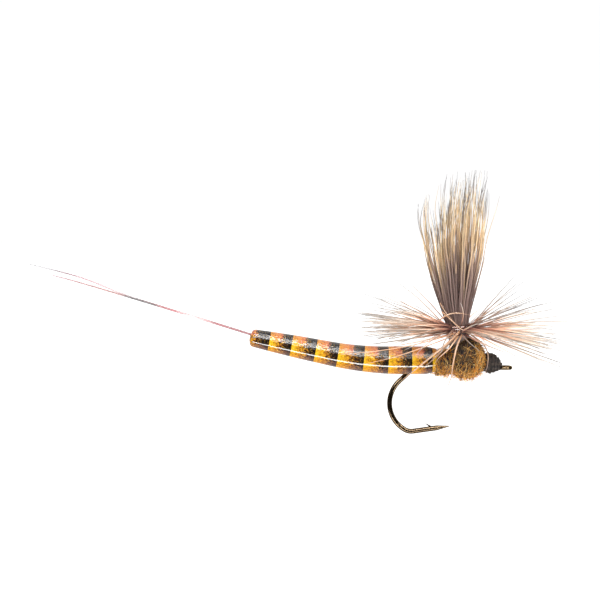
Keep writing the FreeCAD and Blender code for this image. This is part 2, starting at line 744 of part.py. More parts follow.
def build():
    hook = make_hook()
    base = make_thread_base()
    shank = fuse("Shank_and_base", hook, base)
    make_rear_abdomen()
    front_abdomen = make_front_abdomen(hook, shank)
    make_tail_fibre(1, "tail_length")
    make_tail_fibre(-1, "tail_short_length")

    neck_turns, neck_bundle = make_abdomen_binding()
    part("abdomen_binding", cut("Abdomen_binding", neck_turns, fuse("Neck_inside", front_abdomen, shank)))
    butt_bundle = make_butt_binding()
    post = make_post()
    part("wing_butts", cut("Wing_butts", post, shank))
    make_post_binding()
    make_wing_hair()
    start_z = make_hackle_stem()[1]
    make_hackle_barbs(start_z)

    legs = make_legs()
    inside = fuse("Dubbing_inside", shank, front_abdomen, neck_bundle, butt_bundle, post, legs)
    ball = make_dubbing_ball()
    part("thorax_dubbing", cut("Thorax_dubbing", ball, inside))
    part("thread_head", cut("Thread_head", make_head(), fuse("Head_inside", shank, ball)))


def check_and_write():
    """Stops on any broken object, then writes each sub-part to its own file."""
    doc.recompute()
    for thing in doc.Objects:
        if {"Invalid", "Error"} & set(thing.State):
            raise RuntimeError(f"{thing.Name} did not compute: {thing.State}")
    os.makedirs("parts", exist_ok=True)
    for thing in SUBPARTS:
        if thing.Shape.isNull() or not thing.Shape.isValid() or thing.Shape.Volume <= 0:
            raise RuntimeError(f"{thing.Label} has no valid solid")
        thing.Shape.exportStep(f"parts/{thing.Label}.step")


build()
check_and_write()
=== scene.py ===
"""A parachute dry fly in a soft white studio.

Lengths in the geometry are in millimetres in the CAD frame, and become metres when a mesh is made. The
origin is the hook eye, +X points forward and +Z up. A strand is one hair, barb, fibre or thread.
"""
import math

import bpy
import numpy as np
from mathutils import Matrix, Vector


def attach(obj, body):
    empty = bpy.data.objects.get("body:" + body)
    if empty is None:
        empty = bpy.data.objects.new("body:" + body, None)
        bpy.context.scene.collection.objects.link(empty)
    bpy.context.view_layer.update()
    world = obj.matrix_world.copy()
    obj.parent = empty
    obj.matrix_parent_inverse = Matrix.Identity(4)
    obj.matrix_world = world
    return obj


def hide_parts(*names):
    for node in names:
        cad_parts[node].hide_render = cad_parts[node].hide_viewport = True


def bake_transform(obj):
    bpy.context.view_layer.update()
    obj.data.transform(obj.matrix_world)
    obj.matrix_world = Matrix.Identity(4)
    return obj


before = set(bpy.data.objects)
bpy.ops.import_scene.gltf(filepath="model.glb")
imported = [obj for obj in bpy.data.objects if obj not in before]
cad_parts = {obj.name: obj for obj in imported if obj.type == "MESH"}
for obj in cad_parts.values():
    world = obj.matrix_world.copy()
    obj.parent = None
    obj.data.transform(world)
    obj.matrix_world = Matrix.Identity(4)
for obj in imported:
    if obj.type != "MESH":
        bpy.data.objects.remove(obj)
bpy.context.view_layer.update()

MM = 0.001
GOLDEN_ANGLE = math.pi * (3 - math.sqrt(5))
ROOT, ABDOMEN, TAIL, WING = "hook_assembly", "abdomen", "tail", "wing"


def rgb(red, green, blue):
    """A display colour of 0 to 255 a channel as the linear colour that shaders use."""
    channels = []
    for value in (red, green, blue):
        share = value / 255
        channels.append(share / 12.92 if share <= 0.04045 else ((share + 0.055) / 1.055) ** 2.4)
    return (*channels, 1.0)


# ------------------------------------------------------------------- materials


class Shader:
    """A material under construction, with short calls for its nodes."""

    def __init__(self, name):
        self.material = bpy.data.materials.new(name)
        self.material.use_nodes = True
        self.tree = self.material.node_tree
        self.tree.nodes.clear()
        self.output = self.tree.nodes.new("ShaderNodeOutputMaterial")

    def node(self, kind, inputs=(), **settings):
        """Adds a node. An input given a socket is linked to it; any other value is set on it."""
        made = self.tree.nodes.new("ShaderNode" + kind)
        for key, value in settings.items():
            setattr(made, key, value)
        for key, value in dict(inputs).items():
            if isinstance(value, bpy.types.NodeSocket):
                self.tree.links.new(value, made.inputs[key])
            else:
                made.inputs[key].default_value = value
        return made

    def attribute(self, name):
        """The number kept under this name at the mesh's points."""
        return self.node("Attribute", attribute_name=name).outputs["Fac"]

    def place(self):
        """Object coordinates, in metres."""
        return self.node("TexCoord").outputs["Object"]

    def noise(self, scale, detail, vector=None, roughness=0.55):
        """Noise from 0 to 1, by default over object coordinates, with scale counted per metre."""
        inputs = {"Scale": scale, "Detail": detail, "Roughness": roughness}
        inputs["Vector"] = vector if vector is not None else self.place()
        return self.node("TexNoise", inputs).outputs["Fac"]

    def stretch(self, scale):
        """Object coordinates scaled by a different amount along each axis."""
        return self.node("Mapping", {"Vector": self.place(), "Scale": scale}).outputs["Vector"]

    def ramp(self, fac, stops):
        """Colours along a ramp, from (position, colour) stops."""
        made = self.node("ValToRGB", {"Fac": fac})
        elements = made.color_ramp.elements
        while len(elements) < len(stops):
            elements.new(1.0)
        for element, (position, colour) in zip(elements, stops):
            element.position = position
            element.color = colour
        return made.outputs["Color"]

    def span(self, value, low, high, start=0.0, end=1.0):
        """Maps low to high onto start to end, held at both ends."""
        inputs = {"Value": value, "From Min": low, "From Max": high, "To Min": start, "To Max": end}
        return self.node("MapRange", inputs).outputs["Result"]

    def mix(self, fac, a, b, blend="MIX"):
        """Two colours mixed by fac."""
        made = self.node("Mix", data_type="RGBA", blend_type=blend, clamp_factor=True)
        for socket, value in ((made.inputs[0], fac), (made.inputs[6], a), (made.inputs[7], b)):
            if isinstance(value, bpy.types.NodeSocket):
                self.tree.links.new(value, socket)
            else:
                socket.default_value = value
        return made.outputs[2]

    def math(self, operation, a, b=0.0):
        """One arithmetic step on one or two numbers."""
        made = self.node("Math", operation=operation)
        for socket, value in zip(made.inputs, (a, b)):
            if isinstance(value, bpy.types.NodeSocket):
                self.tree.links.new(value, socket)
            else:
                socket.default_value = value
        return made.outputs[0]

    def bump(self, height, distance, strength):
        """A surface normal tilted by a height pattern, with distance in metres."""
        inputs = {"Height": height, "Distance": distance, "Strength": strength}
        return self.node("Bump", inputs).outputs["Normal"]

    def finish(self, inputs):
        """Ends the material in one principled surface."""
        surface = self.node("BsdfPrincipled", inputs)
        self.tree.links.new(surface.outputs["BSDF"], self.output.inputs["Surface"])
        return self.material

    def end_in(self, surface):
        """Ends the material in the shader output given."""
        self.tree.links.new(surface, self.output.inputs["Surface"])
        return self.material


def hook_material():
    """Bronzed hook wire: dark brown metal, slightly pitted and brighter in places."""
    s = Shader("hook_bronze")
    blotch = s.noise(500.0, 3.0)
    colour = s.ramp(blotch, [(0.3, rgb(66, 54, 42)), (0.6, rgb(90, 76, 58)), (0.8, rgb(128, 110, 82))])
    rough = s.span(s.noise(2600.0, 4.0), 0.3, 0.7, 0.14, 0.26)
    pits = s.bump(s.noise(5200.0, 3.0), 0.000004, 0.2)
    return s.finish(
        {
            "Base Color": colour,
            "Metallic": 1.0,
            "Roughness": rough,
            "Normal": pits,
            "Specular Tint": rgb(236, 206, 150),
        }
    )


def thread_material(name, dark=(12, 10, 10), light=(78, 66, 58)):
    """Waxed thread: uneven tones over a fine roughness of filaments."""
    s = Shader(name)
    fibre = s.noise(14000.0, 4.0)
    tone = s.noise(3200.0, 4.0, roughness=0.75)
    colour = s.ramp(tone, [(0.42, rgb(*dark)), (0.62, rgb(*light))])
    return s.finish(
        {
            "Base Color": colour,
            "Roughness": s.span(fibre, 0.3, 0.7, 0.4, 0.7),
            "Normal": s.bump(fibre, 0.00002, 0.8),
            "Specular IOR Level": 0.22,
        }
    )


def strand_material(name, stops, spread, sheen=0.3, roughness=0.45, through=0.0):
    """Hair or fibre, coloured along its length, with every strand a little lighter, darker or further on."""
    s = Shader(name)
    tint = s.attribute("tint")
    along = s.math("ADD", s.attribute("along"), s.span(tint, 0.0, 1.0, -spread, spread))
    colour = s.ramp(along, stops)
    shade = s.span(s.math("FRACT", s.math("MULTIPLY", tint, 7.31)), 0.0, 1.0, 0.5, 1.4)
    grey = s.node("CombineColor", {"Red": shade, "Green": shade, "Blue": shade}).outputs[0]
    colour = s.mix(1.0, colour, grey, "MULTIPLY")
    streak = s.noise(9000.0, 3.0)
    colour = s.mix(s.span(streak, 0.35, 0.75, 0.0, 0.2), colour, rgb(88, 62, 46))
    inputs = {
        "Base Color": colour,
        "Roughness": roughness,
        "Sheen Weight": sheen,
        "Sheen Roughness": 0.4,
        "Specular IOR Level": 0.5,
        "Normal": s.bump(streak, 0.00001, 0.4),
    }
    surface = s.node("BsdfPrincipled", inputs).outputs["BSDF"]
    if through:
        glow = s.node("BsdfTranslucent", {"Color": colour}).outputs["BSDF"]
        surface = s.node("MixShader", {"Fac": through, 1: surface, 2: glow}).outputs["Shader"]
    return s.end_in(surface)


FILM_SIDE = [
    (0.0, rgb(216, 172, 34)),
    (0.2, rgb(202, 148, 28)),
    (0.38, rgb(172, 108, 26)),
    (0.52, rgb(104, 62, 26)),
    (0.66, rgb(36, 25, 18)),
    (1.0, rgb(14, 13, 13)),
]
FILM_TOP = [
    (0.0, rgb(206, 142, 62)),
    (0.26, rgb(204, 126, 76)),
    (0.5, rgb(188, 108, 80)),
    (0.58, rgb(56, 54, 54)),
    (1.0, rgb(34, 36, 40)),
]
FILM_BELLY = [
    (0.0, rgb(210, 150, 30)),
    (0.3, rgb(186, 120, 40)),
    (0.55, rgb(136, 90, 62)),
    (0.75, rgb(96, 70, 64)),
    (1.0, rgb(64, 54, 54)),
]


def film_colour(s, band, back):
    """Sharp-edged bands: yellow stippled into black on the sides, salmon going to slate on the back."""
    speck = s.noise(5600.0, 2.0, roughness=0.75)
    blot = s.noise(1500.0, 3.0)
    grain = s.math("ADD", s.span(blot, 0.3, 0.7, -0.07, 0.07), s.span(speck, 0.32, 0.68, -0.3, 0.3))
    side = s.ramp(s.math("ADD", band, grain), FILM_SIDE)
    top = s.ramp(s.math("ADD", band, s.math("MULTIPLY", grain, 0.3)), FILM_TOP)
    belly = s.ramp(s.math("ADD", band, s.math("MULTIPLY", grain, 0.7)), FILM_BELLY)
    ragged = s.math("ADD", back, s.span(speck, 0.3, 0.7, -0.04, 0.04))
    colour = s.mix(s.span(ragged, 0.68, 0.76), side, top)
    colour = s.mix(s.span(ragged, 0.28, 0.2), colour, belly)
    fleck = s.noise(7400.0, 1.0, roughness=0.6)
    colour = s.mix(s.span(fleck, 0.6, 0.64, 0.0, 0.55), colour, rgb(40, 22, 14))
    # painted glints: bright golden specks mixed into the film's colour, mostly in the yellow part of each
    # band, standing in for sparkles of light on the varnish
    painted_glint = s.math("MULTIPLY", s.span(fleck, 0.4, 0.37, 0.0, 0.5), s.span(band, 0.5, 0.9, 1.0, 0.15))
    return s.mix(painted_glint, colour, rgb(250, 196, 74))


def film_material():
    """Printed film under clear varnish that lies smooth underneath and is crinkled on the back."""
    s = Shader("abdomen_film")
    band = s.attribute("band")
    back = s.attribute("back")
    colour = film_colour(s, band, back)
    wrinkle = s.noise(1.0, 4.0, vector=s.stretch((1500.0, 5200.0, 5200.0)))
    crinkle = s.noise(1.0, 4.0, vector=s.stretch((3600.0, 7600.0, 7600.0)), roughness=0.7)
    return s.finish(
        {
            "Base Color": colour,
            "Roughness": 0.6,
            "Normal": s.bump(wrinkle, 0.00003, 0.4),
            "Specular IOR Level": 0.0,
            "Coat Weight": 1.0,
            "Coat Roughness": 0.06,
            "Coat IOR": 1.55,
            "Coat Normal": s.bump(crinkle, 0.00006, s.span(back, 0.5, 0.64, 0.06, 1.0)),
        }
    )


def foam_material():
    """Closed-cell foam under the film."""
    s = Shader("foam_core")
    cells = s.node("TexVoronoi", {"Vector": s.place(), "Scale": 9000.0}).outputs["Distance"]
    colour = s.ramp(cells, [(0.1, rgb(196, 168, 96)), (0.7, rgb(232, 210, 150))])
    return s.finish({"Base Color": colour, "Roughness": 0.85, "Normal": s.bump(cells, 0.00003, 0.6)})


def dubbing_core_material():
    """Packed fur seen between the loose fibres: nearly black above, rusty below."""
    s = Shader("dubbing_core")
    spread = s.noise(2600.0, 5.0, roughness=0.7)
    dark = s.ramp(spread, [(0.35, rgb(14, 11, 9)), (0.55, rgb(44, 28, 16)), (0.75, rgb(82, 52, 22))])
    rust = s.ramp(spread, [(0.35, rgb(70, 36, 12)), (0.55, rgb(142, 80, 24)), (0.75, rgb(204, 130, 44))])
    height = s.node("SeparateXYZ", {0: s.place()}).outputs["Z"]
    colour = s.mix(s.span(height, 0.0002, -0.0008), dark, rust)
    return s.finish(
        {"Base Color": colour, "Roughness": 0.9, "Sheen Weight": 0.3, "Normal": s.bump(spread, 0.0001, 0.8)}
    )


def dubbing_fibre_material():
    """Loose fur. Each fibre is black, maroon, olive, amber or pale gold by the hue it was given."""
    s = Shader("dubbing_fibre")
    stops = [
        (0.0, rgb(20, 16, 14)),
        (0.2, rgb(66, 30, 20)),
        (0.4, rgb(86, 70, 26)),
        (0.6, rgb(172, 108, 44)),
        (0.8, rgb(232, 158, 44)),
        (1.0, rgb(254, 222, 140)),
    ]
    colour = s.ramp(s.attribute("hue"), stops)
    tip = s.mix(s.span(s.attribute("along"), 0.4, 1.0, 0.0, 0.25), colour, rgb(250, 206, 120))
    inputs = {"Base Color": tip, "Roughness": 0.5, "Specular IOR Level": 0.3}
    surface = s.node("BsdfPrincipled", inputs).outputs["BSDF"]
    glow = s.node("BsdfTranslucent", {"Color": tip}).outputs["BSDF"]
    return s.end_in(s.node("MixShader", {"Fac": 0.3, 1: surface, 2: glow}).outputs["Shader"])


# ------------------------------------------------------------- building meshes


def new_object(name, mesh, material, body=None, replaced=()):
    """Puts a mesh in the scene with its material, body, material slot and the CAD nodes it stands for."""
    made = bpy.data.objects.new(name, mesh)
    bpy.context.scene.collection.objects.link(made)
    mesh.materials.append(material)
    if body:
        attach(made, body)
    if replaced:
        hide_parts(*replaced)
    return made


def mesh_from(name, points_mm, faces, attributes=None):
    """A smooth-shaded mesh in metres, with a number at each point for every named attribute."""
    mesh = bpy.data.meshes.new(name)
    mesh.from_pydata((np.asarray(points_mm) * MM).tolist(), [], faces)
    for key, values in (attributes or {}).items():
        layer = mesh.attributes.new(key, "FLOAT", "POINT")
        layer.data.foreach_set("value", np.asarray(values, np.float32).ravel())
    mesh.polygons.foreach_set("use_smooth", [True] * len(mesh.polygons))
    mesh.update()
    return mesh


def unit(vectors):
    """The same directions, one long."""
    length = np.linalg.norm(vectors, axis=-1, keepdims=True)
    return vectors / np.maximum(length, 1e-9)


def strand_mesh(name, paths, radii, sides, **per_strand):
    """One mesh of many tubes. paths is strands x points x 3, and radii is strands x points.

    Each strand's own numbers, such as tint, are given as keyword lists and kept at its points. The number
    along runs from 0 at the root to 1 at the tip.
    """
    paths, radii = np.asarray(paths, float), np.asarray(radii, float)
    count, length = paths.shape[:2]
    tangents = unit(np.gradient(paths, axis=1))
    helper = np.where(np.abs(tangents[:, :1, 2:]) < 0.9, [[[0.0, 0.0, 1.0]]], [[[1.0, 0.0, 0.0]]])
    normal = unit(np.cross(tangents[:, 0], helper[:, 0]))
    normals = np.empty_like(paths)
    for i in range(length):
        normal = unit(normal - tangents[:, i] * np.sum(normal * tangents[:, i], axis=1, keepdims=True))
        normals[:, i] = normal
    sideways = np.cross(tangents, normals)
    turn = np.arange(sides) * 2 * math.pi / sides
    ring = normals[:, :, None] * np.cos(turn)[:, None] + sideways[:, :, None] * np.sin(turn)[:, None]
    points = paths[:, :, None] + ring * radii[:, :, None, None]
    faces = []
    for strand in range(count):
        base = strand * length * sides
        for i in range(length - 1):
            row = base + i * sides
            for j in range(sides):
                k = (j + 1) % sides
                faces.append((row + j, row + k, row + sides + k, row + sides + j))
        faces.append(tuple(base + j for j in reversed(range(sides))))
        faces.append(tuple(base + (length - 1) * sides + j for j in range(sides)))
    along = np.broadcast_to(np.linspace(0, 1, length)[None, :, None], (count, length, sides))
    attributes = {"along": along}
    for key, values in per_strand.items():
        attributes[key] = np.broadcast_to(np.asarray(values, float)[:, None, None], (count, length, sides))
    return mesh_from(name, points.reshape(-1, 3), faces, attributes)


def curve_through(knots, count):
    """Evenly spaced points along a smooth curve through a few knots (Catmull-Rom)."""
    fine_steps = 400
    knots = np.asarray(knots, float)
    padded = np.vstack([2 * knots[0] - knots[1], knots, 2 * knots[-1] - knots[-2]])
    at = np.linspace(0, len(knots) - 1, fine_steps)
    span = np.minimum(at.astype(int), len(knots) - 2)
    t = (at - span)[:, None]
    p0, p1, p2, p3 = (padded[span + k] for k in range(4))
    square = (2 * p0 - 5 * p1 + 4 * p2 - p3) * t**2
    cube = (3 * p1 - p0 - 3 * p2 + p3) * t**3
    dense = 0.5 * (2 * p1 + (p2 - p0) * t + square + cube)
    run = np.concatenate([[0], np.cumsum(np.linalg.norm(np.diff(dense, axis=0), axis=1))])
    even = np.linspace(0, run[-1], count)
    return np.column_stack([np.interp(even, run, dense[:, axis]) for axis in range(3)])


def tube_mesh(name, path, radii, sides):
    """One tube along a path, of middling tint."""
    return strand_mesh(name, [path], [radii], sides, tint=[0.5])


def skin_faces(rings, around):
    """Quads that join a run of rings of points, each with the same number of points."""
    faces = []
    for i in range(rings - 1):
        for j in range(around):
            k = (j + 1) % around
            faces.append((i * around + j, i * around + k, (i + 1) * around + k, (i + 1) * around + j))
    return faces


def cap(ring, around):
    """The flat end face on one ring of points."""
    return tuple(ring * around + j for j in range(around))


# --------------------------------------------------------------------- abdomen

# the tail end is straight, then an arc brings the axis level, and the front lies along the shank
ABDOMEN_STRAIGHT, ABDOMEN_ARC, ABDOMEN_RISE = 8.1, 34.0, math.radians(11.5)
LEVEL_START, LEVEL_HEIGHT = -10.85, 0.75
LEVEL_FROM = ABDOMEN_STRAIGHT + ABDOMEN_ARC * ABDOMEN_RISE
ABDOMEN_FRONT = -6.9
ABDOMEN_LENGTH = LEVEL_FROM + ABDOMEN_FRONT - LEVEL_START
RADIUS_AT = [0.0, 2.0, 4.8, 9.6, 14.4, 17.8, 18.9]
RADIUS = [0.86, 0.99, 1.12, 1.25, 1.4, 1.4, 1.15]
ROUNDED_END = 0.42
COAT, FILM = 0.06, 0.1
BAND_EDGES = [1.95, 4.2, 6.65, 8.92, 11.55, 14.0, 16.35, 18.4, 20.6]
TAIL_END_PHASE = 0.42
# rings that close the tail end, as (share of its radius, depth)
DIMPLE = ((0.75, -0.05), (0.5, -0.06), (0.3, 0.05), (0.05, 0.08))


def abdomen_axis(distance):
    """(point, forward direction) on the abdomen's axis at a distance forward of its tail end."""
    if distance >= LEVEL_FROM:
        return np.array([LEVEL_START + distance - LEVEL_FROM, 0, LEVEL_HEIGHT]), np.array([1.0, 0, 0])
    slope = min(ABDOMEN_RISE, (LEVEL_FROM - distance) / ABDOMEN_ARC)
    forward = np.array([math.cos(slope), 0, -math.sin(slope)])
    x = LEVEL_START - ABDOMEN_ARC * math.sin(slope)
    z = LEVEL_HEIGHT + ABDOMEN_ARC * (1 - math.cos(slope))
    return np.array([x, 0, z]) - forward * max(0.0, ABDOMEN_STRAIGHT - distance), forward


def abdomen_radius(distance):
    """Outer radius, with a rounded tail end."""
    body = np.interp(distance, RADIUS_AT, RADIUS)
    rounding = min(1.0, distance / ROUNDED_END)
    return body * (0.5 + 0.5 * math.sqrt(1 - (1 - rounding) ** 2))


def band_phase(distance):
    """0 to 1 across each band from its sharp tailward edge. The first band, at the tail, has no yellow."""
    if distance < BAND_EDGES[0]:
        return 0.4 + 0.6 * distance / BAND_EDGES[0]
    for start, end in zip(BAND_EDGES, BAND_EDGES[1:]):
        if distance < end:
            return (distance - start) / (end - start)
    return 1.0


def skin_marks():
    """Distances of the skin's rings: close together at the rounded end and at each side of a band's edge."""
    marks = list(np.linspace(0.0, ROUNDED_END, 9)[:-1]) + list(np.arange(ROUNDED_END, ABDOMEN_LENGTH, 0.06))
    for edge in BAND_EDGES:
        if edge < ABDOMEN_LENGTH:
            marks += [edge - 0.004, edge + 0.004]
    return sorted(marks)


def spokes(forward, around):
    """(unit spoke, cosine of its turn from the top) for each point of a ring that faces forward."""
    up = np.array([-forward[2], 0, forward[0]])
    turns = [2 * math.pi * j / around for j in range(around)]
    return [(up * math.cos(turn) + np.array([0, 1, 0]) * math.sin(turn), math.cos(turn)) for turn in turns]


def abdomen_skin(name, inset, material, replaced):
    """One layer of the abdomen's skin, in a single piece."""
    around = 96
    marks = skin_marks()
    points, band, back = [], [], []
    for mark in marks:
        centre, forward = abdomen_axis(mark + inset * (1 - mark / ABDOMEN_LENGTH))
        radius = abdomen_radius(mark) - inset
        for spoke, height in spokes(forward, around):
            points.append(centre + radius * spoke)
            band.append(band_phase(mark))
            back.append(0.5 + 0.5 * height)
    faces = skin_faces(len(marks), around)
    faces.append(cap(len(marks) - 1, around))
    # the blunt tail end closes in to a dimple round the tail fibres
    centre, forward = abdomen_axis(inset)
    rim = list(range(around))
    for share, depth in DIMPLE:
        start = len(points)
        radius = (abdomen_radius(0.0) - inset) * share
        for spoke, _ in spokes(forward, around):
            points.append(centre + forward * depth + radius * spoke)
            band.append(TAIL_END_PHASE)
            back.append(0.5)
        for j in range(around):
            k = (j + 1) % around
            faces.append((start + j, start + k, rim[k], rim[j]))
        rim = list(range(start, start + around))
    faces.append(tuple(reversed(rim)))
    mesh = mesh_from(name, points, faces, {"band": band, "back": back})
    made = new_object(name, mesh, material, replaced=replaced)
    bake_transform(made)


def make_abdomen():
    """The varnished film, which stands for the CAD's film and coat, and the foam inside it."""
    skin = ("abdomen_film", "abdomen_film_front", "abdomen_coat", "abdomen_coat_front")
    abdomen_skin("abdomen_coated_film", 0.0, film_material(), skin)
    foam = ("abdomen_core", "abdomen_core_front")
    abdomen_skin("abdomen_foam", COAT + FILM, foam_material(), foam)


# ----------------------------------------------------------------- tail fibres


TAIL_SHARED = [
    (0.0, rgb(134, 84, 88)),
    (0.2, rgb(150, 84, 90)),
    (0.27, rgb(204, 178, 178)),
    (0.34, rgb(206, 184, 184)),
    (0.4, rgb(168, 92, 98)),
    (0.47, rgb(150, 92, 96)),
]
TAIL_ENDS = {
    "left": [
        (0.52, rgb(112, 104, 106)),
        (0.6, rgb(196, 170, 172)),
        (0.76, rgb(180, 142, 148)),
        (0.84, rgb(116, 88, 96)),
        (0.9, rgb(150, 146, 150)),
        (1.0, rgb(160, 160, 162)),
    ],
    "right": [
        (0.51, rgb(70, 64, 66)),
        (0.63, rgb(76, 68, 70)),
        (0.68, rgb(150, 104, 100)),
        (0.88, rgb(150, 100, 102)),
        (1.0, rgb(170, 138, 146)),
    ],
}
TAIL_KNOTS = {
    "left": [
        (-25.1, 0.1, 3.2),
        (-25.7, 0.12, 3.4),
        (-31.6, 0.16, 5.26),
        (-37.6, 0.2, 7.12),
        (-42.6, 0.65, 9.02),
        (-48.0, 0.95, 10.4),
    ],
    "right": [
        (-25.1, -0.1, 3.2),
        (-25.7, -0.12, 3.4),
        (-31.6, -0.16, 5.24),
        (-37.6, -0.25, 7.08),
        (-42.6, -0.6, 8.6),
        (-45.3, -0.85, 9.35),
    ],
}


def make_tails():
    """Two fine fibres that lie together and then part, dusky pink with pale and grey lengths."""
    length = 90
    share = np.linspace(0, 1, length)
    radii = 0.07 * (1 - share) ** 0.4 + 0.03
    radii[-1] = 0.01
    for side, knots in TAIL_KNOTS.items():
        mesh = tube_mesh(f"tail_{side}", curve_through(knots, length), radii, 8)
        material = strand_material(f"tail_fibre_{side}", TAIL_SHARED + TAIL_ENDS[side], 0.0)
        new_object(f"tail_{side}", mesh, material, TAIL, [f"tail_fibre_{side}"])


# ------------------------------------------------------------------------ wing

WING_HEIGHTS = [3.3, 4.4, 5.2, 6.8, 10.8, 14.8, 19.5]
WING_CENTRE = [-4.75, -4.78, -4.98, -5.02, -5.1, -5.2, -4.75]
WING_HALF_X = [0.92, 1.0, 1.32, 1.78, 3.05, 3.65, 3.5]
WING_HALF_Y = [0.92, 1.0, 1.15, 1.45, 2.1, 2.6, 2.8]
WING_ROOT, WING_TOP = 3.4, 19.75
WING_CLUMPS, WING_HAIRS = 34, 170
WING_STOPS = [
    (0.0, rgb(122, 98, 92)),
    (0.38, rgb(140, 114, 106)),
    (0.5, rgb(174, 146, 126)),
    (0.64, rgb(216, 184, 142)),
    (0.82, rgb(230, 204, 162)),
    (0.92, rgb(132, 118, 110)),
    (1.0, rgb(76, 72, 74)),
]


def disc_place(i, count):
    """The u, v place of one of many strands that fill a round bundle evenly."""
    out = math.sqrt((i + 0.5) / count)
    turn = i * GOLDEN_ANGLE
    return out, turn


def wing_top(u, rng):
    """How high a clump reaches by its place u across the wing."""
    if u < -0.7:
        return rng.uniform(16.0, 17.4)
    if u < -0.42:
        return rng.uniform(11.5, 15.5)
    if u < 0.0:
        return rng.uniform(16.0, 19.6)
    return rng.uniform(17.0, 19.8)


def wing_clumps(rng):
    """The u, v place and the height of each clump that the hairs gather to."""
    clumps = []
    for i in range(WING_CLUMPS):
        out, turn = disc_place(i, WING_CLUMPS)
        u, v = out * math.cos(turn), out * math.sin(turn)
        clumps.append((u, v, wing_top(u, rng)))
    return np.array(clumps)


def wing_hair(i, clumps, share, rng):
    """The path of one hair. It leans to the nearest clump, unless it is one of the strays."""
    out, turn = disc_place(i, WING_HAIRS)
    out *= rng.uniform(0.9, 1.03)
    own = np.array([out * math.cos(turn), out * math.sin(turn)])
    nearest = clumps[np.argmin(np.sum((clumps[:, :2] - own) ** 2, axis=1))]
    stray = i % 15 == 0
    top = rng.uniform(11.0, 16.0) if stray else nearest[2] + rng.normal(0, 0.5)
    heights = np.linspace(WING_ROOT, min(WING_TOP, top), len(share))
    gather = (0.1 if stray else rng.uniform(0.45, 0.85)) * np.clip((heights - 4.4) / 8.0, 0, 1)
    u = own[0] * (1 - gather) + nearest[0] * gather
    v = own[1] * (1 - gather) + nearest[1] * gather
    bend = np.clip((heights - WING_ROOT) / 16, 0, 1) ** 2
    sway = rng.normal(0, 0.42 if i % 4 else 0.8, 2)
    apart = -0.35 * bend if own[0] < -0.6 else 0.0
    x = np.interp(heights, WING_HEIGHTS, WING_CENTRE)
    x = x + u * np.interp(heights, WING_HEIGHTS, WING_HALF_X) + apart
    y = v * np.interp(heights, WING_HEIGHTS, WING_HALF_Y)
    swing, pitch, phase = rng.uniform(0.05, 0.2), rng.uniform(0.5, 1.3), rng.uniform(0, 6)
    wave = swing * np.sin(heights * pitch + phase) * np.sqrt(bend)
    return np.column_stack([smooth(x) + sway[0] * bend + wave, smooth(y) + sway[1] * bend - wave, heights])


def make_wing(rng):
    """The upright bundle of deer hair, from inside the post binding to its fine dark tips."""
    clumps = wing_clumps(rng)
    share = np.linspace(0, 1, 18)
    paths, radii, tints = [], [], []
    for i in range(WING_HAIRS):
        paths.append(wing_hair(i, clumps, share, rng))
        radii.append(rng.uniform(0.055, 0.088) * (1 - 0.45 * share - 0.55 * share**3) + 0.01)
        tints.append(rng.random())
    material = strand_material("wing_hair", WING_STOPS, 0.14, sheen=0.15, roughness=0.4, through=0.12)
    mesh = strand_mesh("wing_hair_bundle", paths, radii, 6, tint=tints)
    made = new_object("wing_hair_bundle", mesh, material, replaced=["wing_hair"])
    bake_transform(made)


def smooth(values):
    """A run of numbers with each inner one eased towards its neighbours."""
    eased = np.array(values, float)
    for _ in range(3):
        eased[1:-1] = (eased[:-2] + 2 * eased[1:-1] + eased[2:]) / 4
    return eased


# ---------------------------------------------------------------------- hackle

POST_X = -4.75
HACKLE_BARBS, GUARD_BARBS = 210, 14
HACKLE_STOPS = [
    (0.0, rgb(74, 34, 30)),
    (0.1, rgb(136, 80, 66)),
    (0.24, rgb(214, 164, 138)),
    (0.45, rgb(232, 200, 174)),
    (0.68, rgb(230, 214, 198)),
    (0.86, rgb(216, 206, 196)),
    (1.0, rgb(190, 186, 182)),
]
GUARD_STOPS = [
    (0.0, rgb(150, 112, 92)),
    (0.3, rgb(168, 146, 132)),
    (0.7, rgb(142, 134, 130)),
    (1.0, rgb(120, 117, 118)),
]


def hackle_barb(turn, share, rng):
    """(path, radii) of one barb that leaves the post at a turn, 0 being straight ahead."""
    forward = math.cos(turn)
    base = 3.5 + 0.75 * rng.random()
    rise = rng.normal(-2 - 7 * forward, 7)
    fine = rng.random() < 0.45
    if rng.random() < 0.09:
        rise += rng.uniform(18, 36)
        fine = True
    rise = max(-21.0, min(38.0, rise))
    if forward < -0.85:
        rise = max(rise, -6.0)
    reach = rng.uniform(0.76, 1.0) * (8.5 + 1.4 * abs(forward) + 0.4 * forward)
    curl = rng.uniform(0, 9) * (1 if rise > -6 else 0.3)
    swirl = math.radians(rng.uniform(-9, 9))
    angle = np.radians(rise + curl * (1 - 2 * share))
    heading = turn + swirl * share**1.5
    step = reach / (len(share) - 1)
    run = 1.2 + np.concatenate([[0], np.cumsum(step * np.cos(angle[:-1]))])
    lift = np.concatenate([[0], np.cumsum(step * np.sin(angle[:-1]))])
    path = np.column_stack([POST_X + run * np.cos(heading), run * np.sin(heading), base + lift])
    thick = rng.uniform(0.026, 0.046) if fine else rng.uniform(0.055, 0.09)
    return path, thick * (1 - share) ** 0.6 + 0.016


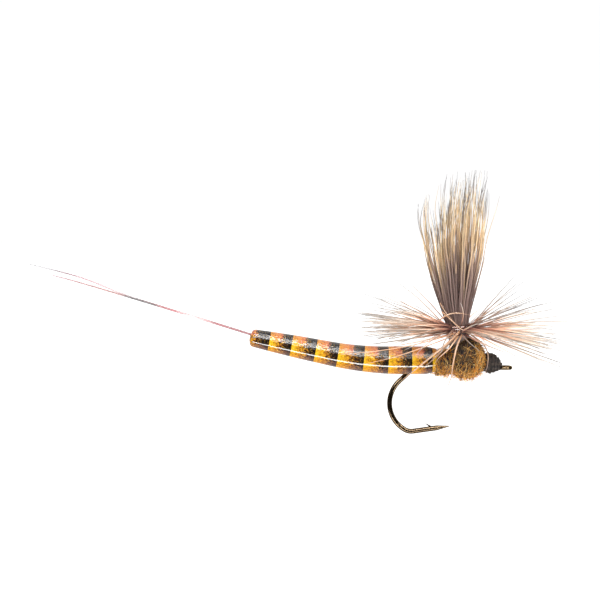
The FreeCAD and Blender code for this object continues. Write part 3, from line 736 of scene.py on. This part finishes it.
def make_hackle(rng):
    """Barbs round the post: thick and peach near the root, thin and grey at the tip, fewest to the sides."""
    share = np.linspace(0, 1, 16)
    paths, radii, tints = [], [], []
    while len(paths) < HACKLE_BARBS:
        turn = rng.uniform(0, 2 * math.pi)
        if rng.random() > 0.22 + 0.78 * abs(math.cos(turn)) ** 1.6:
            continue
        path, radius = hackle_barb(turn, share, rng)
        paths.append(path)
        radii.append(radius)
        tints.append(rng.random())
    material = strand_material("hackle_barb", HACKLE_STOPS, 0.06, sheen=0.2, roughness=0.5, through=0.4)
    mesh = strand_mesh("hackle_barb_fan", paths, radii, 6, tint=tints)
    new_object("hackle_barb_fan", mesh, material, ROOT, ["hackle_barbs"])


def make_guard_barbs(rng):
    """A few stiff grey barbs that stand up out of the fan before and behind the wing."""
    share = np.linspace(0, 1, 14)
    paths, radii, tints = [], [], []
    for i in range(GUARD_BARBS):
        forward = 1 if i % 7 < 5 else -1
        turn = rng.uniform(-0.6, 0.6)
        rise = math.radians(rng.uniform(14, 40) if forward > 0 else rng.uniform(20, 38))
        reach = rng.uniform(6.0, 9.0) if forward > 0 else rng.uniform(4.5, 6.6)
        out = 1.1 + share * reach * math.cos(rise)
        lift = share * reach * math.sin(rise) - 0.35 * share**2
        x = POST_X + forward * out * math.cos(turn)
        paths.append(np.column_stack([x, out * math.sin(turn), 4.1 + lift]))
        radii.append(rng.uniform(0.03, 0.05) * (1 - share) ** 0.55 + 0.012)
        tints.append(rng.random())
    material = strand_material("hackle_guard", GUARD_STOPS, 0.08, sheen=0.1, roughness=0.5, through=0.15)
    mesh = strand_mesh("hackle_guard_barbs", paths, radii, 6, tint=tints)
    new_object("hackle_guard_barbs", mesh, material, ROOT)


LEG_STOPS = [
    (0.0, rgb(206, 150, 106)),
    (0.3, rgb(230, 188, 152)),
    (0.75, rgb(216, 172, 138)),
    (1.0, rgb(166, 128, 108)),
]
# (root radius, tint, knots) of each hair
LEG_HAIRS = [
    # down over the thorax
    (0.125, 0.2, [(-4.7, -1.3, 3.75), (-6.3, -2.1, 2.4), (-8.4, -2.2, 0.7), (-10.35, -1.9, -0.95)]),
    (0.11, 0.55, [(-4.8, -1.3, 3.6), (-6.2, -2.0, 2.25), (-7.6, -2.2, 0.9), (-8.4, -2.1, 0.25)]),
    (
        0.095,
        0.35,
        [(-4.5, -1.35, 3.5), (-5.1, -2.2, 2.3), (-5.5, -2.6, 0.6), (-5.65, -2.6, -0.6), (-5.95, -2.4, -1.5)],
    ),
    (
        0.08,
        0.7,
        [(-3.6, -1.3, 3.4), (-2.5, -1.9, 2.6), (-2.0, -2.0, 1.6), (-2.0, -1.7, 0.4), (-2.2, -1.4, -0.4)],
    ),
    # across the foot of the wing
    (0.06, 0.5, [(-6.7, -1.1, 4.9), (-5.9, -1.35, 5.45), (-4.9, -1.4, 5.6), (-3.7, -1.3, 5.4)]),
    (
        0.075,
        0.05,
        [
            (-6.5, -1.2, 5.7),
            (-5.6, -1.4, 4.9),
            (-4.6, -1.45, 4.0),
            (-3.7, -1.5, 3.5),
            (-2.6, -1.8, 3.1),
            (-1.9, -1.8, 2.2),
        ],
    ),
    (0.08, 0.8, [(-4.9, -1.3, 3.3), (-5.8, -2.2, 2.2), (-6.9, -2.3, 1.2), (-7.2, -2.2, 0.7)]),
    (0.05, 0.6, [(-6.7, -1.1, 6.6), (-6.1, -1.3, 5.6), (-5.4, -1.4, 4.9)]),
    # back over the abdomen's near side
    (0.055, 0.1, [(-4.9, -1.3, 3.5), (-8.5, -2.0, 2.2), (-11.5, -1.95, 1.2), (-14.4, -1.75, 0.5)]),
    (0.055, 0.4, [(-5.0, -1.3, 3.6), (-9.0, -1.9, 2.55), (-13.0, -1.8, 1.85), (-16.6, -1.65, 1.5)]),
    (0.045, 0.25, [(-4.9, -1.25, 3.7), (-8.2, -1.9, 2.9), (-12.0, -1.75, 2.2)]),
]


def make_legs():
    """Pale hairs, thick and thin, on the near side of the thorax, the wing's foot and the abdomen."""
    length = 26
    share = np.linspace(0, 1, length)
    paths = [curve_through(knots, length) for _, _, knots in LEG_HAIRS]
    radii = [radius * (1 - 0.75 * share**1.8) for radius, _, _ in LEG_HAIRS]
    tints = [tint for _, tint, _ in LEG_HAIRS]
    material = strand_material("leg_hair", LEG_STOPS, 0.08, sheen=0.2, roughness=0.4, through=0.15)
    mesh = strand_mesh("leg_hair_strands", paths, radii, 8, tint=tints)
    new_object("leg_hair_strands", mesh, material, ROOT, ["leg_hairs"])


# ---------------------------------------------------------------------- thorax

BALL_CENTRE = np.array([-4.0, 0.0, 0.95])
BALL_RADII = np.array([2.0, 1.95, 2.1])
REAR_CENTRE = np.array([-6.2, 0.0, 0.55])
REAR_RADII = np.array([1.5, 1.5, 1.3])
BALLS = ((BALL_CENTRE, BALL_RADII), (REAR_CENTRE, REAR_RADII))
REAR_PHASE = 2.0
FUR_FIBRES = 2900


def lump(direction, phase):
    """A soft unevenness over a ball, between about -1 and 1."""
    x, y, z = (direction[..., i] for i in range(3))
    first = np.sin(5.1 * x + 2.3 * y + phase)
    second = np.sin(4.3 * y - 3.9 * z + 1.7 * phase)
    third = np.sin(6.7 * z + 2.9 * x + 0.6)
    return (first + second + third) / 3


def dubbing_core():
    """Two merged lumpy balls of packed fur, the larger in front."""
    rows, around = 56, 96
    faces, points = [], []
    for number, (centre, radii) in enumerate(BALLS):
        start = len(points)
        for i in range(rows + 1):
            polar = math.pi * i / rows
            for j in range(around):
                turn = 2 * math.pi * j / around
                side, top = math.sin(polar) * math.sin(turn), math.sin(polar) * math.cos(turn)
                normal = np.array([math.cos(polar), side, top])
                points.append(centre + radii * normal * (0.93 + 0.05 * lump(normal, REAR_PHASE * number)))
        for i in range(rows):
            for j in range(around):
                k = (j + 1) % around
                a, b = start + i * around, start + (i + 1) * around
                faces.append((a + j, b + j, b + k, a + k))
    mesh = mesh_from("dubbing_core", points, faces)
    new_object("dubbing_core", mesh, dubbing_core_material(), ROOT, ["thorax_dubbing"])


def fur_hue(point, rear, rng):
    """A fibre's hue by its root: often golden underneath and in front, maroon on top, dark elsewhere."""
    x, _, z = point
    below = np.clip((0.5 - z) / 0.7, 0, 1)
    front = 0.0 if rear else np.clip((x + 3.5) / 0.5, 0, 1)
    golden = max(below, 0.9 * front * np.clip((2.7 - z) / 0.6, 0, 1))
    if rng.random() < 0.85 * golden:
        return np.clip(rng.normal(0.84, 0.12), 0, 1)
    if z > 1.9:
        return np.clip(rng.normal(0.18, 0.1), 0, 1)
    if rng.random() < (0.35 if rear else 0.14):
        return np.clip(rng.normal(0.78, 0.12), 0, 1)
    return np.clip(rng.normal(0.1, 0.17), 0, 1)


def fur_fibre(centre, size, normal, phase, share, rng):
    """(root, path) of one fibre laid along the winding, of which some stand out, longest underneath."""
    winding = unit(np.cross(normal, [1.0, 0.0, 0.0]) * rng.choice([-1, 1]) + rng.normal(size=3) * 0.5)
    below = max(0.0, -normal[2])
    stand = rng.random() ** 3 * (0.3 + 0.25 * below)
    if rng.random() < 0.08 + 0.22 * below:
        stand += rng.uniform(0.1, 0.5)
    span = rng.uniform(0.4, 1.4)
    curl = rng.normal(size=3) * 0.22
    root = centre + size * normal * (0.9 + 0.05 * lump(normal, phase))
    path = root + np.outer(share * span, winding) + np.outer(share**2, curl)
    away = unit(path - centre)
    shell = np.linalg.norm((path - centre) / size, axis=1)
    path = centre + (path - centre) / shell[:, None] * (0.93 + 0.05 * rng.random())
    path = path + away * (stand * share**1.3)[:, None]
    path[:, 2] = np.maximum(path[:, 2], -1.9 + 0.2 * rng.random())
    return root, path


def dubbing_fibres(rng):
    """Loose fur spun round both balls of the thorax."""
    share = np.linspace(0, 1, 9)
    paths, radii, hues, tints = [], [], [], []
    while len(paths) < FUR_FIBRES:
        rear = rng.random() < 0.3
        centre, size = BALLS[int(rear)]
        normal = unit(rng.normal(size=3))
        if rear and normal[0] > 0.5:
            continue
        root, path = fur_fibre(centre, size, normal, REAR_PHASE * rear, share, rng)
        paths.append(path)
        radii.append(rng.uniform(0.014, 0.036) * (1 - share**2 * 0.7))
        hues.append(fur_hue(root, rear, rng))
        tints.append(rng.random())
    mesh = strand_mesh("dubbing_fur", paths, radii, 4, hue=hues, tint=tints)
    new_object("dubbing_fur", mesh, dubbing_fibre_material(), ROOT)


# ------------------------------------------------------------------------ head


def head_profile(share):
    """(x, axis height, radius) of the head from its back to its tip."""
    x = np.interp(share, [0, 1], [-1.98, -0.4])
    height = np.interp(share, [0, 0.5, 0.8, 1], [0.45, 0.48, 0.38, 0.2])
    radius = np.interp(share, [0, 0.25, 0.5, 0.75, 0.9, 1], [0.98, 1.0, 0.9, 0.68, 0.48, 0.3])
    return x, height, radius


# (turns, starting angle, thread radius, first share of the head, last share) of each layer of thread
HEAD_LAYERS = [(9, 0.0, 0.08, 0.0, 1.0), (4, 1.3, 0.07, 0.98, 0.02), (3, 4.0, 0.065, 0.05, 0.8)]


def make_head(rng):
    """Thread wound over the head in uneven crossing layers, on a solid core."""
    material = thread_material("head_thread")
    for number, (turns, phase, radius, start, end) in enumerate(HEAD_LAYERS):
        steps = turns * 40
        at = np.linspace(start, end, steps)
        wander = np.interp(np.arange(steps), np.arange(0, steps + 10, 10), rng.normal(0, 1, steps // 10 + 1))
        at = np.clip(at + 0.016 * wander * (number > 0), 0, 1)
        x, height, width = head_profile(at)
        turn = phase + np.linspace(0, 2 * math.pi * turns, steps)
        grow = width - 0.06 + 0.05 * number + 0.014 * wander
        path = np.column_stack([x, grow * np.sin(turn), height + grow * np.cos(turn)])
        mesh = tube_mesh(f"head_thread_{number + 1}", path, np.full(steps, radius), 8)
        replaced = ["thread_head"] if number == 0 else ()
        new_object(f"head_thread_{number + 1}", mesh, material, ROOT, replaced)
    around, rings = 48, 31
    points = []
    for i in range(rings):
        x, height, width = head_profile(i / (rings - 1))
        for j in range(around):
            turn = 2 * math.pi * j / around
            points.append((x, (width - 0.07) * math.sin(turn), height + (width - 0.07) * math.cos(turn)))
    faces = skin_faces(rings, around) + [cap(0, around)[::-1], cap(rings - 1, around)]
    new_object("head_base", mesh_from("head_base", points, faces), material, ROOT)


# ------------------------------------------------------- carried-over CAD parts


def dress(node, material):
    """Gives a CAD node its material."""
    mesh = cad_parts[node].data
    mesh.materials.clear()
    mesh.materials.append(material)


def stem_material():
    """The hackle's brown quill."""
    s = Shader("hackle_stem")
    colour = s.ramp(s.noise(3000.0, 3.0), [(0.3, rgb(96, 52, 38)), (0.7, rgb(170, 110, 80))])
    return s.finish({"Base Color": colour, "Roughness": 0.45, "Coat Weight": 0.2})


def butts_material():
    """Cut hair, its grain stretched along Z."""
    s = Shader("hair_butts")
    grain = s.noise(1.0, 3.0, vector=s.stretch((6000.0, 6000.0, 700.0)))
    colour = s.ramp(grain, [(0.3, rgb(72, 58, 54)), (0.7, rgb(150, 130, 120))])
    return s.finish({"Base Color": colour, "Roughness": 0.6, "Normal": s.bump(grain, 0.00005, 0.8)})


def dress_frame():
    """Materials for the CAD nodes that stay as they are."""
    dress("hook", hook_material())
    thread = thread_material("body_thread")
    for node in ("thread_base", "abdomen_binding", "butt_binding"):
        dress(node, thread)
    dress("post_binding", thread_material("post_thread", (40, 24, 20), (120, 78, 60)))
    dress("hackle_stem", stem_material())
    dress("wing_butts", butts_material())


# ---------------------------------------------------------------------- studio


def area_light(name, place_mm, size_mm, power, mirrored):
    """A rectangular softbox aimed at the fly, its long side level.

    A mirrored one shows in glossy surfaces and gives no other light. The others light the fly and don't show.
    """
    light = bpy.data.lights.new(name, "AREA")
    light.shape = "RECTANGLE"
    light.size, light.size_y = size_mm[0] * MM, size_mm[1] * MM
    light.energy = power
    made = bpy.data.objects.new(name, light)
    bpy.context.scene.collection.objects.link(made)
    made.visible_glossy = mirrored
    made.visible_diffuse = not mirrored
    place = np.array(place_mm) * MM
    made.location = place
    made.rotation_euler = aim(place, np.array([-20.0, 0.0, 3.0]) * MM)


def aim(place, target):
    """The rotation that points a light or camera from place to target, kept level."""
    return Vector(target - place).to_track_quat("-Z", "Y").to_euler()


def make_world(scene):
    """Soft light all round. The camera sees plain white; reflections see a bright back and a dark front."""
    world = bpy.data.worlds.new("studio")
    scene.world = world
    world.use_nodes = True
    tree = world.node_tree
    tree.nodes.clear()

    def add(kind, **values):
        """Adds a world node with its inputs set or linked."""
        node = tree.nodes.new("ShaderNode" + kind)
        for key, value in values.items():
            socket = node.inputs[key.replace("_", " ")]
            if isinstance(value, bpy.types.NodeSocket):
                tree.links.new(value, socket)
            else:
                socket.default_value = value
        return node

    split = add("SeparateXYZ", Vector=add("TexCoord").outputs["Generated"])
    depth = split.outputs["Y"]
    soft = add("MapRange", Value=depth, From_Min=-0.6, From_Max=0.6, To_Min=0.7, To_Max=0.86)
    sharp = add("MapRange", Value=depth, From_Min=-0.1, From_Max=0.75, To_Min=0.05, To_Max=0.7)
    ray = add("LightPath")
    lighting = add("Background", Strength=soft.outputs[0])
    mirrored = add("Background", Strength=sharp.outputs[0])
    backdrop = add("Background", Strength=1.02)
    for background in (lighting, mirrored, backdrop):
        background.inputs["Color"].default_value = (1, 1, 1, 1)
    unseen = add("MixShader", Fac=ray.outputs["Is Glossy Ray"])
    tree.links.new(lighting.outputs[0], unseen.inputs[1])
    tree.links.new(mirrored.outputs[0], unseen.inputs[2])
    seen = add("MixShader", Fac=ray.outputs["Is Camera Ray"])
    tree.links.new(unseen.outputs[0], seen.inputs[1])
    tree.links.new(backdrop.outputs[0], seen.inputs[2])
    output = add("OutputWorld")
    tree.links.new(seen.outputs[0], output.inputs["Surface"])


def make_floor(scene):
    """A plain pale floor, left out of reflections so that the varnish isn't washed out."""
    half, floor_z = 2.0, -60 * MM
    corners = [(-half, -half, floor_z), (half, -half, floor_z), (half, half, floor_z), (-half, half, floor_z)]
    floor = bpy.data.meshes.new("floor")
    floor.from_pydata(corners, [], [(0, 1, 2, 3)])
    surface = {"Base Color": (0.93, 0.93, 0.93, 1), "Roughness": 0.9}
    surface.update({"Emission Color": (1, 1, 1, 1), "Emission Strength": 0.6})
    floor.materials.append(Shader("floor_white").finish(surface))
    made = bpy.data.objects.new("floor", floor)
    scene.collection.objects.link(made)
    made.visible_glossy = False


def make_studio():
    """White surroundings, three softboxes, and two long strips for the highlights along the varnish."""
    scene = bpy.context.scene
    scene.view_settings.view_transform = "Standard"
    make_world(scene)
    area_light("strip_above", (-18, -44, 46), (150, 11), 0.24, True)
    area_light("strip_below", (-18, -40, -42), (150, 11), 0.11, True)
    area_light("key", (-50, -120, 110), (120, 120), 0.22, False)
    area_light("fill", (90, -60, 60), (100, 100), 0.08, False)
    area_light("back", (-30, 110, 60), (160, 60), 0.12, False)
    make_floor(scene)


def make_camera():
    """A long macro lens, level with the fly's side and a few degrees above it."""
    camera = bpy.data.cameras.new("camera")
    camera.lens = 100
    camera.sensor_width = 36
    camera.clip_start = 0.005
    camera.clip_end = 20
    made = bpy.data.objects.new("camera", camera)
    scene = bpy.context.scene
    scene.collection.objects.link(made)
    scene.camera = made
    target = np.array([-20.6, 0.0, 6.8]) * MM
    view_width = 60.0 * MM
    distance = view_width * camera.lens / camera.sensor_width
    elevation = math.radians(4.0)
    made.location = target + distance * np.array([0, -math.cos(elevation), math.sin(elevation)])
    made.rotation_euler = aim(np.array(made.location), target)


WING_SEED, HACKLE_SEED, GUARD_SEED, FUR_SEED, HEAD_SEED = 11, 5, 8, 3, 2

make_camera()
make_studio()
dress_frame()
make_abdomen()
make_tails()
make_wing(np.random.default_rng(WING_SEED))
make_hackle(np.random.default_rng(HACKLE_SEED))
make_guard_barbs(np.random.default_rng(GUARD_SEED))
make_legs()
dubbing_core()
dubbing_fibres(np.random.default_rng(FUR_SEED))
make_head(np.random.default_rng(HEAD_SEED))
